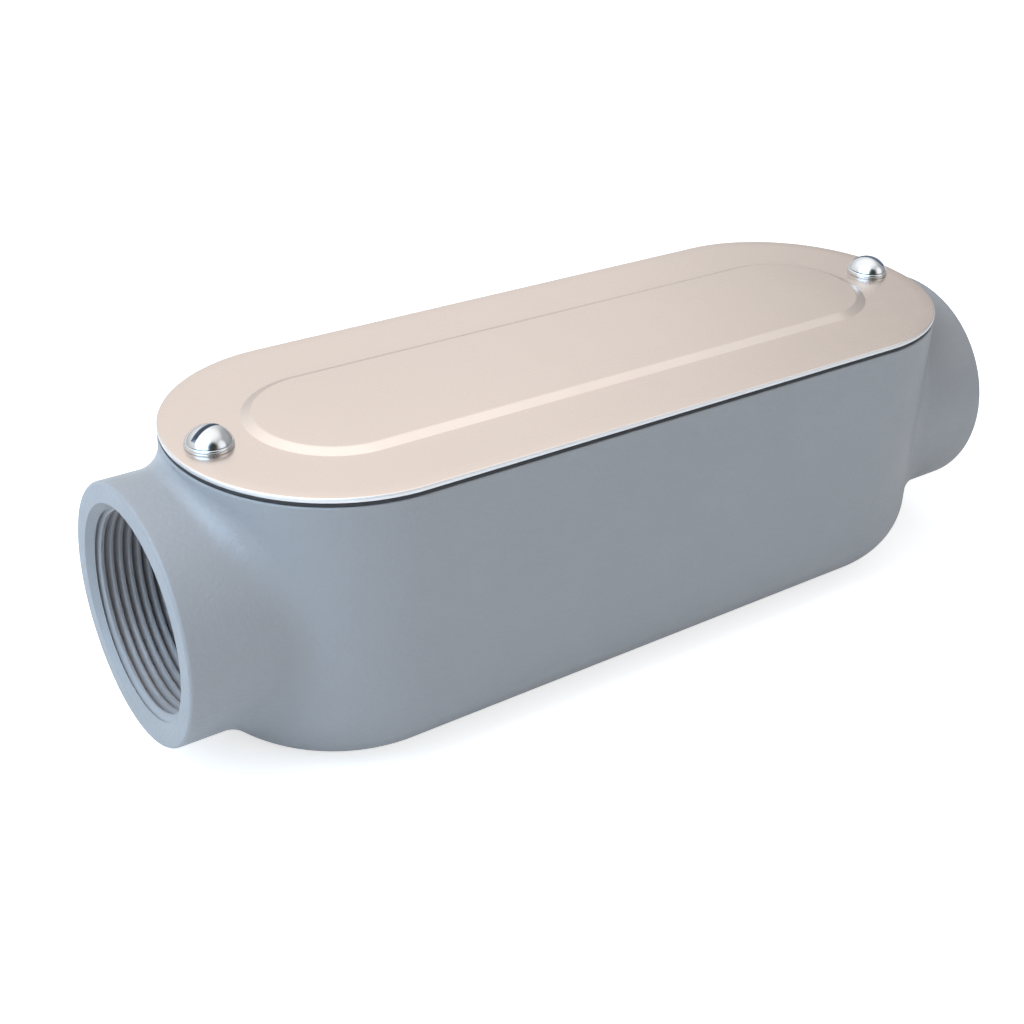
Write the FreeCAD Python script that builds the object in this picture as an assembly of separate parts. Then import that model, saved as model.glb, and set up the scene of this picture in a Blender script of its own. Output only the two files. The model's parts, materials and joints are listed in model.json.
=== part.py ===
"""Rigid conduit body, type C: a straight-through die casting with two threaded hubs and a screwed cover.

Millimetres.  +X runs along the two hubs, +Z points up out of the cover, and the origin is on the flat
base, in the middle.  Each piece of the fitting is one solid, written to parts/NODE.step.
"""

import FreeCAD
import Part
import os
from math import asin, cos, degrees, radians, sin, sqrt

# --- Hubs: 2-1/2 in taper pipe thread ------------------------------------------------------------
THREAD_ROOT_RADIUS = 36.35     # thread root at the hub face
THREAD_LENGTH = 28.0           # hub face to the throat
THREAD_MOUTH_CHAMFER = 1.4     # 45 degree lead-in at the hub face
HUB_WALL = 8.0                 # metal outside the thread root
HUB_PROJECTION = 17.95         # hub face beyond the rounded end of the trough
HUB_RIM_CHAMFER = 1.2          # outer edge of the hub face
HUB_ROOT_CHAMFER = 4.0         # sloped root all round where hub and trough meet
THROAT_RADIUS = 31.4           # smooth bushing that the wires run over
THROAT_LENGTH = 9.0            # end of thread to the wiring chamber
THROAT_EDGE_CHAMFER = 1.8      # broken edge at both ends of the throat

# --- Trough --------------------------------------------------------------------------------------
END_CENTRES = 201.4            # between the centres of the two rounded ends
SIDE_SHOULDER = 12.8           # side wall outside the hub
HUB_FLOOR_STEP = 9.25          # hub's lowest line above the base
HUB_RIM_STEP = 5.85            # hub's highest line below the rim
BASE_EDGE_RADIUS = 24.7        # rounded edge all round the base
RIM_EDGE_CHAMFER = 0.8         # outer edge of the rim
WALL = 5.0
FLOOR = 5.0
CHAMBER_CORNER_RADIUS = 5.0    # inside corners, end wall to side wall
CHAMBER_FLAT_COUNT = 2         # flats that round the chamber's floor edge

# --- Cover screws: 5/16-18 slotted round head ----------------------------------------------------
SCREW_INSET = 12.55            # screw axis from the end of the cover
SCREW_RADIUS = 3.97
SCREW_SHANK_LENGTH = 12.7
SCREW_TIP_CHAMFER = 0.8
HEAD_RADIUS = 7.35
HEAD_HEIGHT = 7.0
HEAD_RIM_HEIGHT = 1.3          # short upright edge under the dome
DOME_FLAT_COUNT = 2            # sloped bands that make up the dome
SLOT_WIDTH = 1.9
SLOT_DEPTH = 2.9
LEFT_SLOT_ANGLE = 17.0         # degrees from +X, as the driver left it
RIGHT_SLOT_ANGLE = 64.0
TAP_CLEARANCE = 0.05           # radial, shank to tapped hole
TAP_RUN_OUT = 1.4              # tapped hole below the screw tip
BOSS_WALL = 4.0                # metal round the tapped hole
BOSS_FLOOR = 2.6               # metal under the tapped hole
BOSS_FOOT_CHAMFER = 1.5

# --- Gasket and cover ----------------------------------------------------------------------------
GASKET_THICKNESS = 1.5
GASKET_WIDTH = 8.5
GASKET_EYE_WALL = 4.6          # gasket round a screw hole
GASKET_HOLE_CLEARANCE = 0.8    # radial
COVER_THICKNESS = 1.6
COVER_HOLE_CLEARANCE = 0.4     # radial
COVER_EDGE_CHAMFER = 0.5       # rolled-over upper edge of the stamping
EMBOSS_MARGIN = 26.4           # edge of the cover to the foot of the raised field
EMBOSS_HEIGHT = 1.5
EMBOSS_RUN = 4.2               # width of the slope

# --- Sizes that follow ---------------------------------------------------------------------------
HUB_RADIUS = THREAD_ROOT_RADIUS + HUB_WALL
HUB_AXIS_HEIGHT = HUB_FLOOR_STEP + HUB_RADIUS
RIM_HEIGHT = HUB_AXIS_HEIGHT + HUB_RADIUS + HUB_RIM_STEP
END_RADIUS = HUB_RADIUS + SIDE_SHOULDER
HALF_LENGTH = END_CENTRES / 2 + END_RADIUS
HUB_FACE = HALF_LENGTH + HUB_PROJECTION
THREAD_END = HUB_FACE - THREAD_LENGTH
CHAMBER_END = THREAD_END - THROAT_LENGTH
SCREW_PLACE = HALF_LENGTH - SCREW_INSET
GASKET_TOP = RIM_HEIGHT + GASKET_THICKNESS
COVER_TOP = GASKET_TOP + COVER_THICKNESS
CUT_OVERRUN = 2.0              # how far a cutting shape passes the face that it opens
SAME_POINT = 1e-6              # points closer than this are one point
SAME_PLACE = 0.01              # edges closer than this to a surface lie on it

X_AXIS = FreeCAD.Vector(1, 0, 0)
Z_AXIS = FreeCAD.Vector(0, 0, 1)
LEFT = -1
RIGHT = 1


class Outline:
    """A closed profile in the plane Y = 0, drawn point by point as (x, z)."""

    def __init__(self, x, z):
        self.start = FreeCAD.Vector(x, 0, z)
        self.here = self.start
        self.edges = []

    def line(self, x, z):
        """Straight edge to (x, z); a point that is already there adds none."""
        target = FreeCAD.Vector(x, 0, z)
        if target.distanceToPoint(self.here) > SAME_POINT:
            self.edges.append(Part.makeLine(self.here, target))
            self.here = target
        return self

    def arc(self, centre_x, centre_z, from_degrees, to_degrees, radius):
        """Line to the start of an arc, then the arc; angles are counted from +X towards +Z."""

        def on_arc(turn):
            angle = radians(turn)
            return FreeCAD.Vector(centre_x + radius * cos(angle), 0, centre_z + radius * sin(angle))

        begin = on_arc(from_degrees)
        middle = on_arc((from_degrees + to_degrees) / 2)
        end = on_arc(to_degrees)
        self.line(begin.x, begin.z)
        self.edges.append(Part.Arc(begin, middle, end).toShape())
        self.here = end
        return self

    def flats(self, centre_x, centre_z, from_degrees, to_degrees, radius, count):
        """The same rounding as arc, worked as flats: their ends lie on the arc."""
        for step in range(count + 1):
            angle = radians(from_degrees + (to_degrees - from_degrees) * step / count)
            self.line(centre_x + radius * cos(angle), centre_z + radius * sin(angle))
        return self

    def face(self):
        """The closed profile as a face."""
        self.line(self.start.x, self.start.z)
        return Part.Face(Part.Wire(self.edges))


def at(x, y, z):
    """A point."""
    return FreeCAD.Vector(x, y, z)


def obround(profile):
    """Solid of a profile (x = distance from the centre line) carried round the trough's plan."""
    half_turn = profile.revolve(at(0, 0, 0), Z_AXIS, 180)
    right_end = half_turn.rotated(at(0, 0, 0), Z_AXIS, -90).translated(at(END_CENTRES / 2, 0, 0))
    left_end = half_turn.rotated(at(0, 0, 0), Z_AXIS, 90).translated(at(-END_CENTRES / 2, 0, 0))
    front = profile.rotated(at(0, 0, 0), Z_AXIS, -90).translated(at(-END_CENTRES / 2, 0, 0))
    back = profile.rotated(at(0, 0, 0), Z_AXIS, 90).translated(at(-END_CENTRES / 2, 0, 0))
    sides = [half.extrude(at(END_CENTRES, 0, 0)) for half in (front, back)]
    return right_end.fuse([left_end] + sides).removeSplitter()


def upright_cylinder(x, radius, low, high):
    """Cylinder on a vertical axis at (x, 0)."""
    return Part.makeCylinder(radius, high - low, at(x, 0, low), Z_AXIS)


def mirrored_pair(solid):
    """A solid for the +X end and its mirror image for the -X end."""
    return [solid, solid.mirror(at(0, 0, 0), X_AXIS)]


# --- Housing -------------------------------------------------------------------------------------

def trough_block():
    """The trough's outer form, solid: upright sides on a rounded base edge."""
    flat = END_RADIUS - BASE_EDGE_RADIUS
    outline = Outline(0, 0)
    outline.line(flat, 0)
    outline.arc(flat, BASE_EDGE_RADIUS, -90, 0, BASE_EDGE_RADIUS)
    outline.line(END_RADIUS, RIM_HEIGHT - RIM_EDGE_CHAMFER)
    outline.line(END_RADIUS - RIM_EDGE_CHAMFER, RIM_HEIGHT)
    outline.line(0, RIM_HEIGHT)
    return obround(outline.face())


def hub_block():
    """The +X hub, solid, from inside the trough to its face."""
    inner = END_CENTRES / 2
    outline = Outline(inner, 0)
    outline.line(HUB_FACE, 0)
    outline.line(HUB_FACE, HUB_RADIUS - HUB_RIM_CHAMFER)
    outline.line(HUB_FACE - HUB_RIM_CHAMFER, HUB_RADIUS)
    outline.line(inner, HUB_RADIUS)
    turned = outline.face().revolve(at(0, 0, 0), X_AXIS, 360)
    return turned.translated(at(0, 0, HUB_AXIS_HEIGHT))


def is_hub_joint(edge):
    """True for the edges where a hub meets the trough: on the hub's cylinder, away from its face."""
    middle = edge.valueAt((edge.FirstParameter + edge.LastParameter) / 2)
    reach = sqrt(middle.y ** 2 + (middle.z - HUB_AXIS_HEIGHT) ** 2)
    on_hub = abs(reach - HUB_RADIUS) < SAME_PLACE
    behind_rim = abs(middle.x) < HUB_FACE - HUB_RIM_CHAMFER - SAME_PLACE
    across_hub = edge.BoundBox.YLength > SAME_PLACE
    return on_hub and behind_rim and across_hub


def cast_block():
    """Trough and hubs with the sloped roots between them, before anything is cored out."""
    block = trough_block().fuse(mirrored_pair(hub_block())).removeSplitter()
    root = min(HUB_ROOT_CHAMFER, 0.85 * (HUB_RIM_STEP - RIM_EDGE_CHAMFER))
    return block.makeChamfer(root, [edge for edge in block.Edges if is_hub_joint(edge)])


def is_chamber_corner(edge):
    """True for the four upright edges where the chamber's end walls meet its side walls."""
    box = edge.BoundBox
    on_end_wall = box.XLength < SAME_PLACE and abs(abs(box.XMin) - CHAMBER_END) < SAME_PLACE
    upright = box.YLength < SAME_PLACE and box.ZLength > SAME_PLACE
    return on_end_wall and upright


def chamber_core():
    """The wiring chamber: the trough's form less its wall, squared off at the two end walls."""
    radius = END_RADIUS - WALL
    edge_radius = max(BASE_EDGE_RADIUS - WALL, 1.0)
    flat = radius - edge_radius
    top = RIM_HEIGHT + CUT_OVERRUN
    outline = Outline(0, FLOOR)
    outline.line(flat, FLOOR)
    outline.flats(flat, FLOOR + edge_radius, -90, 0, edge_radius, CHAMBER_FLAT_COUNT)
    outline.line(radius, top)
    outline.line(0, top)
    core = obround(outline.face())
    between_walls = Part.makeBox(
        2 * CHAMBER_END, 4 * END_RADIUS, 2 * top, at(-CHAMBER_END, -2 * END_RADIUS, -top / 2)
    )
    core = core.common(between_walls)
    return core.makeFillet(CHAMBER_CORNER_RADIUS, [edge for edge in core.Edges if is_chamber_corner(edge)])


def screw_boss():
    """The +X screw boss: a column on the end wall, under the rim, that the screw is tapped into."""
    radius = SCREW_RADIUS + BOSS_WALL
    low = RIM_HEIGHT - tapped_depth() - BOSS_FLOOR
    outline = Outline(0, low)
    outline.line(radius - BOSS_FOOT_CHAMFER, low)
    outline.line(radius, low + BOSS_FOOT_CHAMFER)
    outline.line(radius, RIM_HEIGHT)
    outline.line(0, RIM_HEIGHT)
    return outline.face().revolve(at(0, 0, 0), Z_AXIS, 360).translated(at(SCREW_PLACE, 0, 0))


def tapped_depth():
    """Depth of the tapped hole below the rim."""
    return SCREW_SHANK_LENGTH - COVER_THICKNESS - GASKET_THICKNESS + TAP_RUN_OUT


def hub_bore():
    """The +X hub's bore: lead-in, threaded length and rounded throat, open to the chamber."""
    mouth = THREAD_ROOT_RADIUS + THREAD_MOUTH_CHAMFER
    edge = THROAT_EDGE_CHAMFER
    outline = Outline(CHAMBER_END - CUT_OVERRUN, 0)
    outline.line(HUB_FACE + CUT_OVERRUN, 0)
    outline.line(HUB_FACE + CUT_OVERRUN, mouth)
    outline.line(HUB_FACE, mouth)
    outline.line(HUB_FACE - THREAD_MOUTH_CHAMFER, THREAD_ROOT_RADIUS)
    outline.line(THREAD_END, THREAD_ROOT_RADIUS)
    outline.line(THREAD_END, THROAT_RADIUS + edge)
    outline.line(THREAD_END - edge, THROAT_RADIUS)
    outline.line(CHAMBER_END + edge, THROAT_RADIUS)
    outline.line(CHAMBER_END, THROAT_RADIUS + edge)
    outline.line(CHAMBER_END - CUT_OVERRUN, THROAT_RADIUS + edge)
    turned = outline.face().revolve(at(0, 0, 0), X_AXIS, 360)
    return turned.translated(at(0, 0, HUB_AXIS_HEIGHT))


def conduit_body():
    """The whole casting."""
    housing = cast_block().cut(chamber_core())
    housing = housing.fuse(mirrored_pair(screw_boss()))
    tapped_hole = upright_cylinder(
        SCREW_PLACE, SCREW_RADIUS + TAP_CLEARANCE, RIM_HEIGHT - tapped_depth(), RIM_HEIGHT + CUT_OVERRUN
    )
    cores = mirrored_pair(hub_bore()) + mirrored_pair(tapped_hole)
    return housing.cut(cores).removeSplitter()


# --- Gasket and cover ----------------------------------------------------------------------------

def gasket():
    """Flat rubber ring that fills the rim's plan, with an eye round each screw."""
    outline = Outline(END_RADIUS - GASKET_WIDTH, RIM_HEIGHT)
    outline.line(END_RADIUS, RIM_HEIGHT)
    outline.line(END_RADIUS, GASKET_TOP)
    outline.line(END_RADIUS - GASKET_WIDTH, GASKET_TOP)
    hole_radius = SCREW_RADIUS + GASKET_HOLE_CLEARANCE
    eye = upright_cylinder(SCREW_PLACE, hole_radius + GASKET_EYE_WALL, RIM_HEIGHT, GASKET_TOP)
    hole = upright_cylinder(SCREW_PLACE, hole_radius, RIM_HEIGHT - CUT_OVERRUN, GASKET_TOP + CUT_OVERRUN)
    ring = obround(outline.face()).fuse(mirrored_pair(eye))
    return ring.cut(mirrored_pair(hole)).removeSplitter()


def cover_plate():
    """Stamped sheet of one thickness with a raised obround field and rolled-over upper edges."""
    foot = END_RADIUS - EMBOSS_MARGIN
    crest = foot - EMBOSS_RUN
    raised = COVER_TOP + EMBOSS_HEIGHT
    outline = Outline(0, GASKET_TOP + EMBOSS_HEIGHT)
    outline.line(crest, GASKET_TOP + EMBOSS_HEIGHT)
    outline.line(foot, GASKET_TOP)
    outline.line(END_RADIUS, GASKET_TOP)
    outline.line(END_RADIUS, COVER_TOP - COVER_EDGE_CHAMFER)
    outline.line(END_RADIUS - COVER_EDGE_CHAMFER, COVER_TOP)
    outline.line(foot, COVER_TOP)
    outline.line(crest, raised)
    outline.line(0, raised)
    sheet = obround(outline.face())
    hole = upright_cylinder(
        SCREW_PLACE, SCREW_RADIUS + COVER_HOLE_CLEARANCE, GASKET_TOP - CUT_OVERRUN, COVER_TOP + CUT_OVERRUN
    )
    return sheet.cut(mirrored_pair(hole))


# --- Screws --------------------------------------------------------------------------------------

def cover_screw(side, slot_angle):
    """Slotted round-head screw, seated on the cover at the left or right end."""
    dome_height = HEAD_HEIGHT - HEAD_RIM_HEIGHT
    dome_radius = (HEAD_RADIUS ** 2 + dome_height ** 2) / (2 * dome_height)
    dome_centre = COVER_TOP + HEAD_HEIGHT - dome_radius
    dome_edge = degrees(asin((dome_radius - dome_height) / dome_radius))
    tip = COVER_TOP - SCREW_SHANK_LENGTH
    outline = Outline(0, tip)
    outline.line(SCREW_RADIUS - SCREW_TIP_CHAMFER, tip)
    outline.line(SCREW_RADIUS, tip + SCREW_TIP_CHAMFER)
    outline.line(SCREW_RADIUS, COVER_TOP)
    outline.line(HEAD_RADIUS, COVER_TOP)
    outline.flats(0, dome_centre, dome_edge, 90, dome_radius, DOME_FLAT_COUNT)
    screw = outline.face().revolve(at(0, 0, 0), Z_AXIS, 360)
    slot = Part.makeBox(
        4 * HEAD_RADIUS, SLOT_WIDTH, 2 * SLOT_DEPTH,
        at(-2 * HEAD_RADIUS, -SLOT_WIDTH / 2, COVER_TOP + HEAD_HEIGHT - SLOT_DEPTH)
    )
    slot.rotate(at(0, 0, 0), Z_AXIS, slot_angle)
    return screw.cut(slot).translated(at(side * SCREW_PLACE, 0, 0))


PIECES = {
    "conduit_body": conduit_body,
    "gasket": gasket,
    "cover_plate": cover_plate,
    "left_cover_screw": lambda: cover_screw(LEFT, LEFT_SLOT_ANGLE),
    "right_cover_screw": lambda: cover_screw(RIGHT, RIGHT_SLOT_ANGLE),
}


def main():
    """Build each piece and write it to its own file."""
    os.makedirs("parts", exist_ok=True)
    for name, build in PIECES.items():
        shape = build()
        shape.exportStep("parts/" + name + ".step")
        print(name, shape.isValid(), len(shape.Solids), round(shape.Volume, 1), shape.BoundBox)


main()
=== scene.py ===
"""Dresses a type C conduit body: powder coated casting, gasket, stamped cover and two cover screws.

Metres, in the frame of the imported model: +X along the two hubs, +Z up out of the cover, and the origin
in the middle of the flat base.  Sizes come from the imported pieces, and the shapes that those lack
(rolling blends, pipe thread, formed bends, slotted heads) from the named fields of each class.
"""

import json
import logging
import math
from collections.abc import Sequence
from dataclasses import dataclass
from enum import Enum
from typing import ClassVar

import bmesh
import bpy
import numpy as np
from mathutils import Matrix, Vector


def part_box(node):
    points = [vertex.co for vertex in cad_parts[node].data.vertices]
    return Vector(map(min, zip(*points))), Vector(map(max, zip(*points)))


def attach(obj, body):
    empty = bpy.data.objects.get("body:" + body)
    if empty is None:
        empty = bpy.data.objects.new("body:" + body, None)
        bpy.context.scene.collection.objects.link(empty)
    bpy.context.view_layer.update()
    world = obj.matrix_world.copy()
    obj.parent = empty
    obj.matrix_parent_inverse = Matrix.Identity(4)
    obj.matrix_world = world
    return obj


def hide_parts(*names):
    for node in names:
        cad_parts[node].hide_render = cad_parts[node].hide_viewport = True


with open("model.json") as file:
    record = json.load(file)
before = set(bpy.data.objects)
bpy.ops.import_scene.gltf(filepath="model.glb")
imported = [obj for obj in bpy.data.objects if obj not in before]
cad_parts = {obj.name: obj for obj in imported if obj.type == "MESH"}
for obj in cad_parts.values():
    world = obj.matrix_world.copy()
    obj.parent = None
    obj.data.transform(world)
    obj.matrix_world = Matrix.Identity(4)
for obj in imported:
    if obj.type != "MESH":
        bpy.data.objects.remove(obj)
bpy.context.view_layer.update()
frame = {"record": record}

LOG = logging.getLogger("conduit_body")
MM = 0.001
BODY = "root"
MERGE_DISTANCE = 2e-6
# face attribute for a second tone: bare metal in the thread, painted shade inside a screw slot
MARK = "mark"
HOLE_STEPS = 64
Point2 = tuple[float, float]
Point3 = tuple[float, float, float]
Colour = tuple[float, float, float]
WHITE: Colour = (1.0, 1.0, 1.0)
NOISE_ROUGHNESS = 0.55
GLOSS_PATCHES_PER_TONE_PATCH = 5.0
GLOSS_SPREAD: Point2 = (0.3, 0.7)
EDGE_POINTINESS: Point2 = (0.53, 1.03)
EDGE_BREAK_SCALE = 240.0
# how fast the painted sheen on a face grows as it leans over
SLOPE_SHEEN_POWER = 1.5


class End(Enum):
    """One end of the conduit body, and the sign of X there."""

    LEFT = -1
    RIGHT = 1


# --- Mesh making ---------------------------------------------------------------------------------

class MeshDraft:
    """Vertices and faces gathered from grids and caps, merged into one closed mesh at the end."""

    def __init__(self) -> None:
        """Start an empty draft."""
        self.points: list[Point3] = []
        self.faces: list[tuple[int, ...]] = []

    def grid(self, points: np.ndarray, closed: bool = False) -> None:
        """Add a sheet of quads.

        Args:
            points: array of rows x columns x 3.
            closed: join the last column to the first.
        """
        rows, columns = points.shape[:2]
        first = len(self.points)
        self.points.extend(map(tuple, points.reshape(-1, 3)))
        for row in range(rows - 1):
            for column in range(columns if closed else columns - 1):
                beside = (column + 1) % columns
                low, high = first + row * columns, first + (row + 1) * columns
                self.faces.append((low + column, low + beside, high + beside, high + column))

    def cap(self, loop: np.ndarray) -> None:
        """Close a flat loop with one face.

        Args:
            loop: array of points x 3, in order round the loop.
        """
        first = len(self.points)
        self.points.extend(map(tuple, loop))
        self.faces.append(tuple(range(first, first + len(loop))))

    def build(self, name: str) -> bpy.types.Object:
        """Merge the draft and make it an object with outward normals.

        Args:
            name: name of the object.

        Returns:
            The object, linked to the scene.
        """
        mesh = bpy.data.meshes.new(name)
        mesh.from_pydata(self.points, [], self.faces)
        return tidy_object(name, mesh)


def weld(mesh: bpy.types.Mesh, outwards: bool = False) -> None:
    """Merge double points, as cuts leave them where two faces lay in one plane, and close what is open.

    Args:
        mesh: mesh to weld, changed in place.
        outwards: turn the faces outwards too.
    """
    work = bmesh.new()
    work.from_mesh(mesh)
    bmesh.ops.remove_doubles(work, verts=work.verts, dist=MERGE_DISTANCE)
    bmesh.ops.dissolve_degenerate(work, edges=work.edges, dist=MERGE_DISTANCE / 2)
    open_edges = [edge for edge in work.edges if edge.is_boundary]
    if open_edges:
        bmesh.ops.holes_fill(work, edges=open_edges, sides=0)
    if outwards:
        bmesh.ops.recalc_face_normals(work, faces=work.faces)
    work.to_mesh(mesh)
    work.free()


def tidy_object(name: str, mesh: bpy.types.Mesh) -> bpy.types.Object:
    """Weld a mesh, turn its faces outwards and link it as an object.

    Args:
        name: name of the object.
        mesh: the mesh, changed in place.

    Returns:
        The new object.
    """
    weld(mesh, outwards=True)
    mesh.name = name
    piece = bpy.data.objects.new(name, mesh)
    bpy.context.scene.collection.objects.link(piece)
    return piece


def baked(piece: bpy.types.Object) -> bpy.types.Object:
    """Replace an object's mesh by its evaluated one and remove its modifiers.

    Args:
        piece: object with live modifiers.

    Returns:
        The same object with a plain mesh.
    """
    bpy.context.view_layer.update()
    graph = bpy.context.evaluated_depsgraph_get()
    mesh = bpy.data.meshes.new_from_object(piece.evaluated_get(graph), depsgraph=graph)
    piece.modifiers.clear()
    piece.data = mesh
    return piece


def combined(target: bpy.types.Object, tool: bpy.types.Object, operation: str) -> bpy.types.Object:
    """Cut, join or intersect two closed meshes; the tool is used up.

    Args:
        target: object that is changed.
        tool: object that is cut away or added.
        operation: "DIFFERENCE", "UNION" or "INTERSECT".

    Returns:
        The target.
    """
    step = target.modifiers.new("combine", "BOOLEAN")
    step.operation = operation
    step.solver = "EXACT"
    step.object = tool
    baked(target)
    bpy.data.objects.remove(tool)
    return target


def mark_faces(mesh: bpy.types.Mesh, chosen: np.ndarray) -> None:
    """Mark faces for a second tone: bare metal in the thread, painted shade inside a screw slot.

    Args:
        mesh: the mesh.
        chosen: for each face, whether it is marked.
    """
    marks = mesh.attributes.new(MARK, "FLOAT", "FACE")
    marks.data.foreach_set("value", chosen.astype(np.float32))


def face_centres(mesh: bpy.types.Mesh) -> np.ndarray:
    """Centres of a mesh's faces, faces x 3."""
    centres = np.empty(3 * len(mesh.polygons), dtype=np.float32)
    mesh.polygons.foreach_get("center", centres)
    return centres.reshape(-1, 3)


def arc(centre: Point2, radius: float, start: float, stop: float, steps: int) -> list[Point2]:
    """Points along an arc in a profile plane.

    Args:
        centre: centre of the arc.
        radius: its radius.
        start: first angle in degrees.
        stop: last angle in degrees.
        steps: number of chords.

    Returns:
        steps + 1 points.
    """
    angles = np.radians(np.linspace(start, stop, steps + 1))
    return [(centre[0] + radius * math.cos(a), centre[1] + radius * math.sin(a)) for a in angles]


@dataclass(frozen=True)
class Obround:
    """A plan outline of two half circles joined by straight sides, round the Z axis."""

    centre_x: float
    end_steps: int = 96
    side_steps: int = 64

    def loop(self, radius: float) -> np.ndarray:
        """Plan points at a distance from the centre line, anticlockwise from (centre_x, -radius).

        Args:
            radius: distance from the centre line.

        Returns:
            Array of points x 2, without a repeated first point.
        """
        turn = np.radians(np.linspace(-90.0, 90.0, self.end_steps + 1))
        right = np.column_stack([self.centre_x + radius * np.cos(turn), radius * np.sin(turn)])
        along = np.linspace(self.centre_x, -self.centre_x, self.side_steps + 1)[1:-1]
        back = np.column_stack([along, np.full(len(along), radius)])
        return np.vstack([right, back, -right, -back])

    def sweep(self, profile: Sequence[Point2]) -> np.ndarray:
        """Carry a profile round the outline.

        Args:
            profile: points (distance from the centre line, height).

        Returns:
            Array of profile points x plan points x 3.
        """
        rows = []
        for radius, height in profile:
            plan = self.loop(radius)
            rows.append(np.column_stack([plan, np.full(len(plan), height)]))
        return np.array(rows)

    def solid(self, name: str, profile: Sequence[Point2], capped: bool = True) -> bpy.types.Object:
        """Carry a profile round the outline and make it a closed solid.

        Args:
            name: name of the object.
            profile: points (distance from the centre line, height).
            capped: close the first and the last loop, unless the profile is closed in itself.

        Returns:
            The solid.
        """
        swept = self.sweep(profile)
        draft = MeshDraft()
        draft.grid(swept, closed=True)
        if capped:
            draft.cap(swept[0])
            draft.cap(swept[-1])
        return draft.build(name)


def turned(profile: Sequence[Point2], steps: int) -> np.ndarray:
    """Turn a profile about the Z axis.

    Args:
        profile: points (distance from the axis, height).
        steps: columns round the axis.

    Returns:
        Array of profile points x steps x 3.
    """
    turn = np.radians(np.arange(steps) * 360.0 / steps)
    rows = [
        np.column_stack([radius * np.cos(turn), radius * np.sin(turn), np.full(steps, height)])
        for radius, height in profile
    ]
    return np.array(rows)


def lathed(name: str, profile: Sequence[Point2], steps: int, centre: Point3) -> bpy.types.Object:
    """Solid turned about an upright axis from a profile that starts and ends on the axis.

    Args:
        name: name of the object.
        profile: points (distance from the axis, height).
        steps: columns round the axis.
        centre: where the profile's origin goes.

    Returns:
        The closed solid.
    """
    draft = MeshDraft()
    draft.grid(turned(profile, steps) + np.array(centre, dtype=float), closed=True)
    return draft.build(name)


def cylinder(name: str, radius: float, height: float, steps: int, foot: Point3) -> bpy.types.Object:
    """Upright cylinder on the centre of its lower face, as lathed makes it."""
    return lathed(name, [(0, 0), (radius, 0), (radius, height), (0, height)], steps, foot)


def block(name: str, low: Point3, high: Point3) -> bpy.types.Object:
    """Closed box between two corners, used only to cut with.

    Args:
        name: name of the object.
        low: lowest corner.
        high: highest corner.

    Returns:
        The box.
    """
    draft = MeshDraft()
    plan = np.array([[low[0], low[1]], [high[0], low[1]], [high[0], high[1]], [low[0], high[1]]])
    rows = [np.column_stack([plan, np.full(4, height)]) for height in (low[2], high[2])]
    draft.grid(np.array(rows), closed=True)
    return draft.build(name)


# --- Nodes ---------------------------------------------------------------------------------------

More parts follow.
